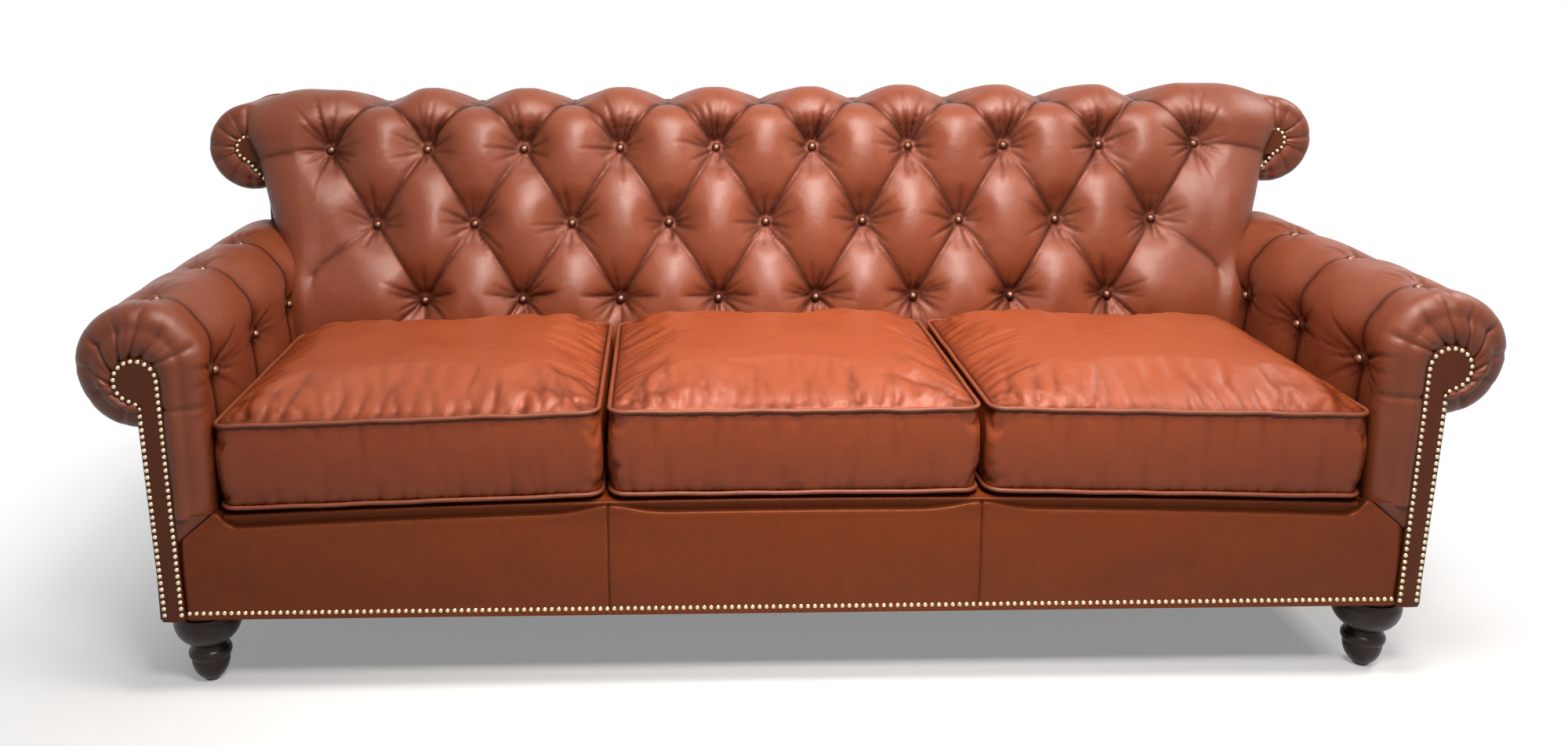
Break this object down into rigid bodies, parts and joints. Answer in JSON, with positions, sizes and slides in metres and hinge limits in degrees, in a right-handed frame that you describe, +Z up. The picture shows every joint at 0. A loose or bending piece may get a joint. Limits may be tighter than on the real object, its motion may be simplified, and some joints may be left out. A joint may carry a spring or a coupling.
{
  "type": "leather sofa",
  "caption": "Deep-buttoned rolled-arm leather sofa with scrolled back ends, loose piped seat cushions, nailhead-trimmed facings and turned bun feet.",
  "frame": {"origin": "on the floor, under the middle of the overall box", "axes": "+X to the sitter's left as seen from the front, along the sofa's length; +Y from the front to the back; +Z up"},
  "size_m": [2.308, 0.9582, 0.928],
  "materials": {
    "cover_leather": "satin aniline leather, pulled in deep tufts and channels",
    "cushion_leather": "satin aniline leather, worn lighter on the crown",
    "panel_leather": "satin aniline leather, laid flat",
    "piping_leather": "satin leather welt",
    "border_leather": "satin aniline leather, laid flat",
    "button": "polished copper-toned metal stud",
    "nail": "antique brass",
    "foot_wood": "dark espresso lacquer",
    "frame_wood": "bare hardwood",
    "foam": null,
    "webbing": "woven jute",
    "deck_cloth": "dark platform cloth over felt",
    "dust_cloth": "black cambric",
    "spring_wire": "bare spring wire",
    "clip_plastic": "moulded clip",
    "bolt_steel": "zinc plated",
    "glide_plastic": "moulded nylon"
  },
  "bodies": {
    "frame": {"arm_buttons": "button", "arm_cover_left": "cover_leather", "arm_cover_right": "cover_leather", "arm_foam_left": "foam", "arm_foam_right": "foam", "arm_front_panel_left": "panel_leather", "arm_front_panel_right": "panel_leather", "arm_front_post_left": "frame_wood", "arm_front_post_right": "frame_wood", "arm_side_panel_left": "panel_leather", "arm_side_panel_right": "panel_leather", "arm_top_rail_left": "frame_wood", "arm_top_rail_right": "frame_wood", "back_buttons": "button", "back_cover": "cover_leather", "back_foam": "foam", "back_post_left": "frame_wood", "back_post_right": "frame_wood", "back_scroll_left": "cover_leather", "back_scroll_panel_left": "panel_leather", "back_scroll_panel_right": "panel_leather", "back_scroll_right": "cover_leather", "back_top_rail": "frame_wood", "back_uprights": "frame_wood", "back_webbing": "webbing", "base_nails": "nail", "corner_blocks": "frame_wood", "deck_pad": "deck_cloth", "dust_cover": "dust_cloth", "foot_bolts": "bolt_steel", "foot_front_left": "foot_wood", "foot_front_right": "foot_wood", "foot_glides": "glide_plastic", "foot_rear_left": "foot_wood", "foot_rear_right": "foot_wood", "front_border_centre": "border_leather", "front_border_left": "border_leather", "front_border_right": "border_leather", "front_rail": "frame_wood", "outside_back_panel": "panel_leather", "rear_post_left": "frame_wood", "rear_post_right": "frame_wood", "rear_rail": "frame_wood", "rear_top_rail": "frame_wood", "seat_springs": "spring_wire", "side_nails_left": "nail", "side_nails_right": "nail", "side_rail_left": "frame_wood", "side_rail_right": "frame_wood", "spring_clips": "clip_plastic", "spring_rail": "frame_wood"},
    "cushion_left": {"cushion_core_left": "foam", "cushion_cover_left": "cushion_leather", "cushion_piping_left": "piping_leather"},
    "cushion_centre": {"cushion_core_centre": "foam", "cushion_cover_centre": "cushion_leather", "cushion_piping_centre": "piping_leather"},
    "cushion_right": {"cushion_core_right": "foam", "cushion_cover_right": "cushion_leather", "cushion_piping_right": "piping_leather"}
  },
  "joints": [
    {"name": "cushion_left_lift", "type": "slide", "parent": "frame", "child": "cushion_left", "axis": [0, 0, 1], "range_m": [0, 0.45]},
    {"name": "cushion_centre_lift", "type": "slide", "parent": "frame", "child": "cushion_centre", "axis": [0, 0, 1], "range_m": [0, 0.45]},
    {"name": "cushion_right_lift", "type": "slide", "parent": "frame", "child": "cushion_right", "axis": [0, 0, 1], "range_m": [0, 0.45]}
  ]
}
